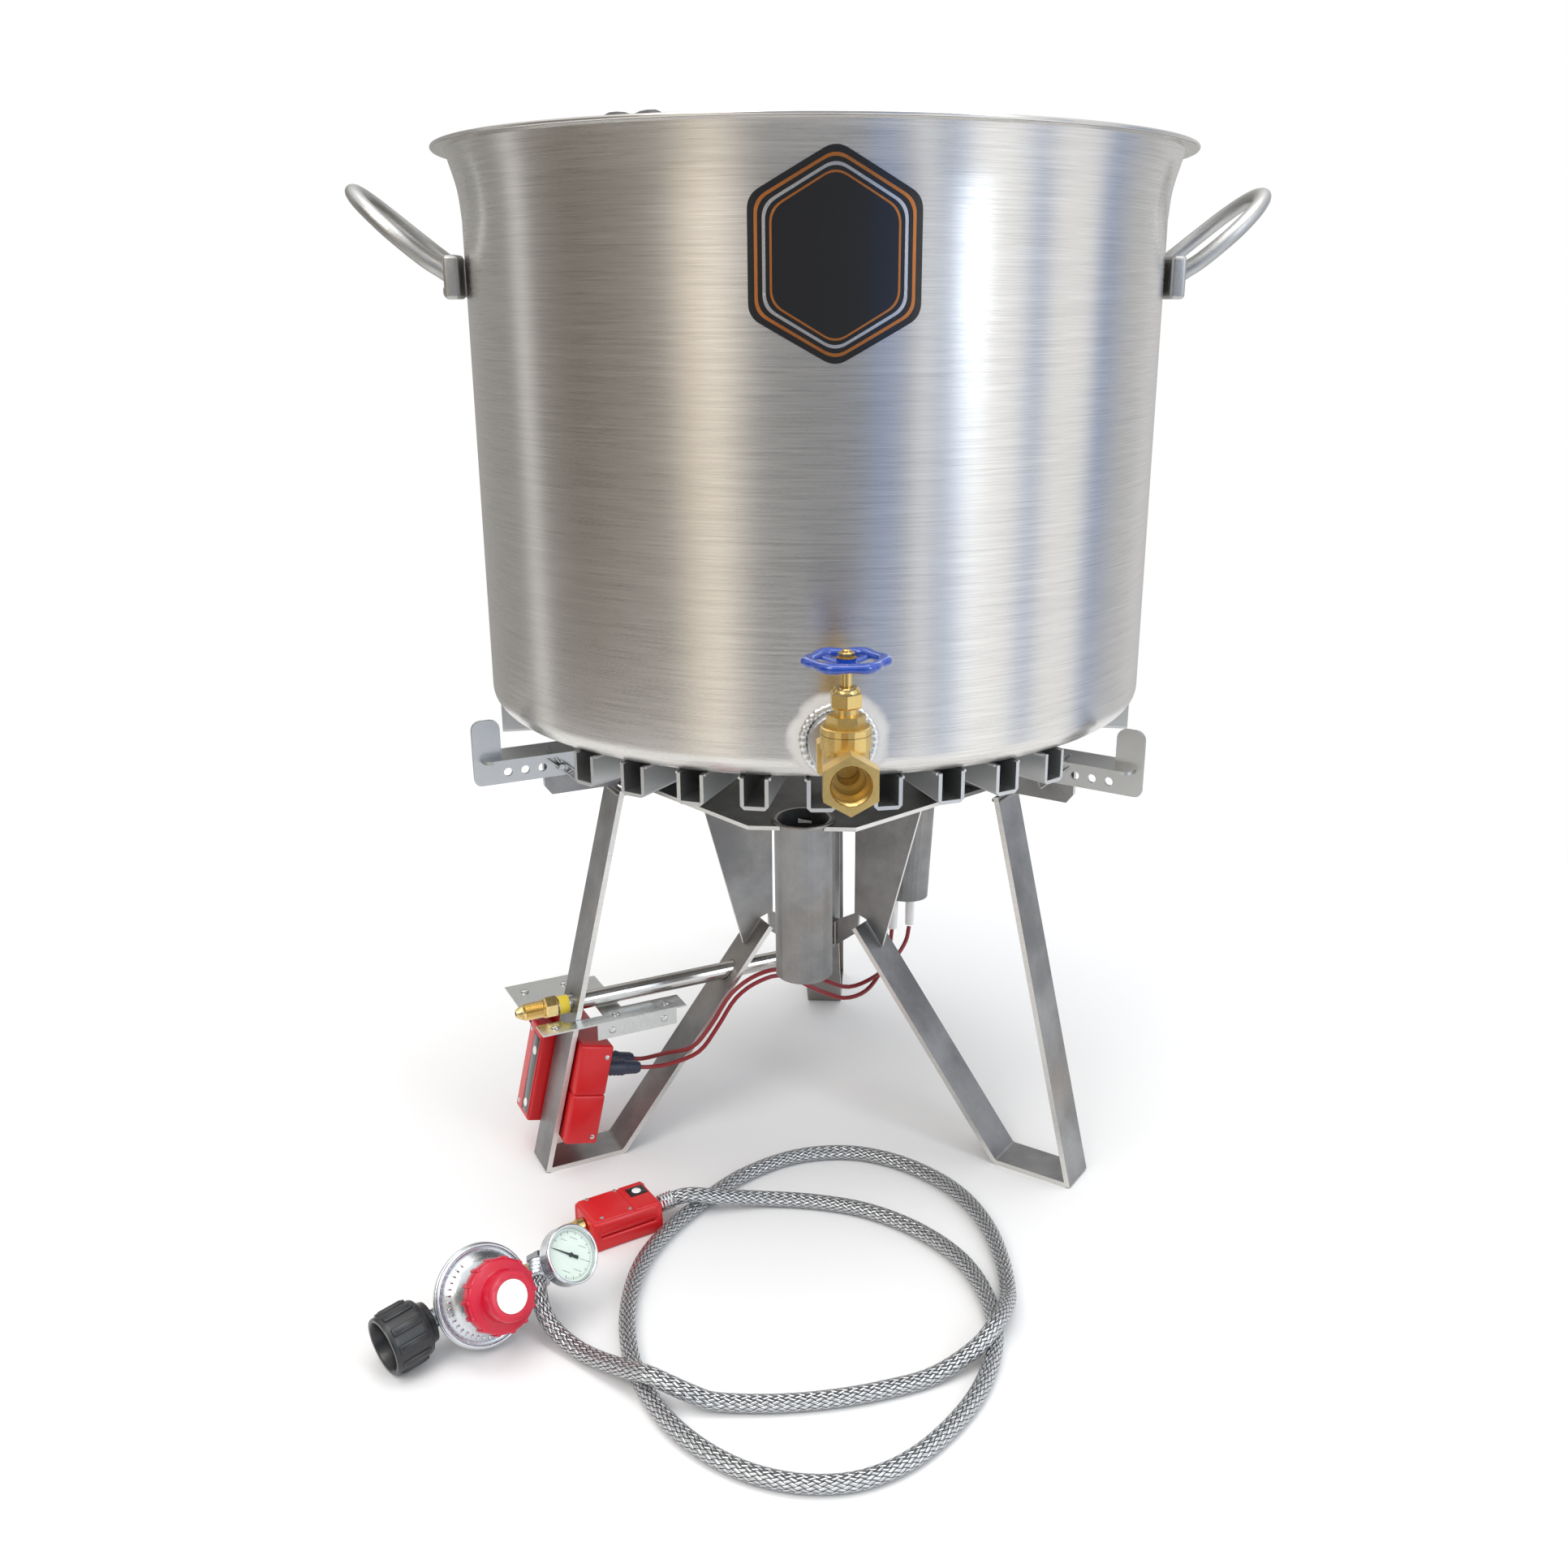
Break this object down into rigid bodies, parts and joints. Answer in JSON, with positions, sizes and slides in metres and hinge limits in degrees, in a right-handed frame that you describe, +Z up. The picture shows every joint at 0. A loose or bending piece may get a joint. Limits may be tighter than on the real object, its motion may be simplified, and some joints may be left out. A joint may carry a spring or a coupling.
{
  "type": "brew kettle with gas burner stand",
  "caption": "Open aluminium brewing pot with heat channels, drain valve and lift-out basket on a three-legged gas burner stand, with igniter, regulator, gauge, hose and valve box.",
  "frame": {"origin": "middle of the pot's inside floor, which is 0.429 m above the ground that the feet stand on", "axes": "+Z up; -Y the front, with the drain valve; +X the right side seen from the front"},
  "size_m": [0.7722, 0.8627, 0.888],
  "materials": {
    "aluminium_sheet": "spun sheet, brushed around the wall",
    "aluminium_welded": "plain extruded and machined aluminium with weld beads",
    "aluminium_cast": "tumbled casting",
    "basket_metal": "satin sheet and wire",
    "brass": "machined and cast brass, lightly polished",
    "blue_paint": "glossy royal blue enamel",
    "mill_steel": "hot rolled steel with mill scale, bright cut edges",
    "zinc_plate": "zinc plated",
    "stainless_tube": "drawn stainless tube",
    "chrome": "polished",
    "steel_braid": "woven stainless wire",
    "red_plastic": "satin red moulding",
    "crimson_plastic": "satin crimson moulding",
    "white_plastic": "white moulding",
    "ceramic": "glazed white ceramic",
    "boot_rubber": "soft blue black rubber",
    "lead_silicone": "dark red silicone",
    "black_plastic": "black moulding"
  },
  "bodies": {
    "stand": {"burner_plate": "mill_steel", "arm_left": "mill_steel", "arm_right": "mill_steel", "arm_rear": "mill_steel", "leg_left": "mill_steel", "leg_right": "mill_steel", "leg_rear": "mill_steel", "gusset_left": "mill_steel", "gusset_right": "mill_steel", "gusset_rear": "mill_steel", "jet_tube": "mill_steel", "sight_tube": "mill_steel", "igniter_tube": "mill_steel", "gas_tube": "stainless_tube", "gas_orifice": "brass", "flare_fitting": "brass", "electrode_left": "ceramic", "electrode_right": "ceramic", "spark_lead": "lead_silicone", "sense_lead": "lead_silicone", "heat_shield": "zinc_plate", "control_tray": "zinc_plate", "controller_case": "red_plastic", "controller_panel": "red_plastic", "boot_near": "boot_rubber", "boot_far": "boot_rubber", "regulator_body": "zinc_plate", "gauge_case": "chrome", "gas_hose": "steel_braid", "valve_box": "red_plastic", "valve_box_outlet": "brass"},
    "kettle": {"kettle_shell": "aluminium_sheet", "tunnels_front": "aluminium_welded", "tunnels_left": "aluminium_welded", "tunnels_right": "aluminium_welded", "handle_left": "aluminium_cast", "handle_right": "aluminium_cast", "drain_bung": "aluminium_welded", "valve_nipple": "brass", "valve_body": "brass", "valve_bonnet": "brass", "packing_nut": "brass"},
    "basket": {"basket": "basket_metal"},
    "bail": {"basket_bail": "basket_metal", "bail_grip": "black_plastic"},
    "valve_wheel": {"hand_wheel": "blue_paint", "valve_stem": "brass"},
    "wedge": {"gate_wedge": "brass"},
    "retainer_left": {"retainer_left": "zinc_plate", "retainer_pin_left": "zinc_plate"},
    "retainer_right": {"retainer_right": "zinc_plate", "retainer_pin_right": "zinc_plate"},
    "retainer_rear": {"retainer_rear": "zinc_plate", "retainer_pin_rear": "zinc_plate"},
    "upper_button": {"upper_button": "white_plastic"},
    "lower_button": {"lower_button": "white_plastic"},
    "valve_box_button": {"valve_box_button": "white_plastic"},
    "regulator_knob": {"regulator_knob": "crimson_plastic"},
    "tank_nut": {"tank_nut": "black_plastic"},
    "gauge_needle": {"gauge_needle": "black_plastic"}
  },
  "joints": [
    {"name": "kettle_lift", "type": "slide", "parent": "stand", "child": "kettle", "axis": [0, 0, 1], "range_m": [0, 0.3]},
    {"name": "basket_lift", "type": "slide", "parent": "kettle", "child": "basket", "axis": [0, 0, 1], "range_m": [0, 0.5]},
    {"name": "bail_hinge", "type": "hinge", "parent": "basket", "child": "bail", "pos_m": [0, 0, 0.4495], "axis": [-0.8949, 0.4462, 0], "range_deg": [0, 180]},
    {"name": "wheel_turn", "type": "hinge", "parent": "kettle", "child": "valve_wheel", "pos_m": [0.02149, -0.35134, 0.1], "axis": [0, 0, 1], "range_deg": [0, 1800]},
    {"name": "wedge_lift", "type": "slide", "parent": "kettle", "child": "wedge", "axis": [0, 0, 1], "range_m": [0, 0.0181]},
    {"name": "retainer_slide_left", "type": "slide", "parent": "stand", "child": "retainer_left", "axis": [-0.891, -0.454, 0], "range_m": [-0.008, 0]},
    {"name": "retainer_slide_right", "type": "slide", "parent": "stand", "child": "retainer_right", "axis": [0.8387, -0.5446, 0], "range_m": [-0.008, 0]},
    {"name": "retainer_slide_rear", "type": "slide", "parent": "stand", "child": "retainer_rear", "axis": [0.0523, 0.9986, 0], "range_m": [-0.008, 0]},
    {"name": "upper_button_press", "type": "slide", "parent": "stand", "child": "upper_button", "axis": [0.8673, 0.4419, -0.2289], "range_m": [0, 0.001], "stiffness_N_per_m": 600},
    {"name": "lower_button_press", "type": "slide", "parent": "stand", "child": "lower_button", "axis": [0.8673, 0.4419, -0.2289], "range_m": [0, 0.001], "stiffness_N_per_m": 600},
    {"name": "valve_box_button_press", "type": "slide", "parent": "stand", "child": "valve_box_button", "axis": [0, 0, -1], "range_m": [0, 0.001], "stiffness_N_per_m": 600},
    {"name": "knob_turn", "type": "hinge", "parent": "stand", "child": "regulator_knob", "pos_m": [-0.255, -0.3755, -0.3902], "axis": [0.608, -0.645, 0.463], "range_deg": [-720, 720]},
    {"name": "tank_nut_turn", "type": "hinge", "parent": "stand", "child": "tank_nut", "pos_m": [-0.26473, -0.36518, -0.39761], "axis": [-0.731, -0.676, -0.093], "continuous": true},
    {"name": "needle_turn", "type": "hinge", "parent": "stand", "child": "gauge_needle", "pos_m": [-0.1908, -0.3518, -0.371], "axis": [-0.646, 0.501, -0.576], "range_deg": [0, 260], "stiffness_Nm_per_rad": 0.00002}
  ],
  "couplings": [
    {"joint": "wedge_lift", "follows": "wheel_turn", "m_per_rad": 0.000573}
  ]
}
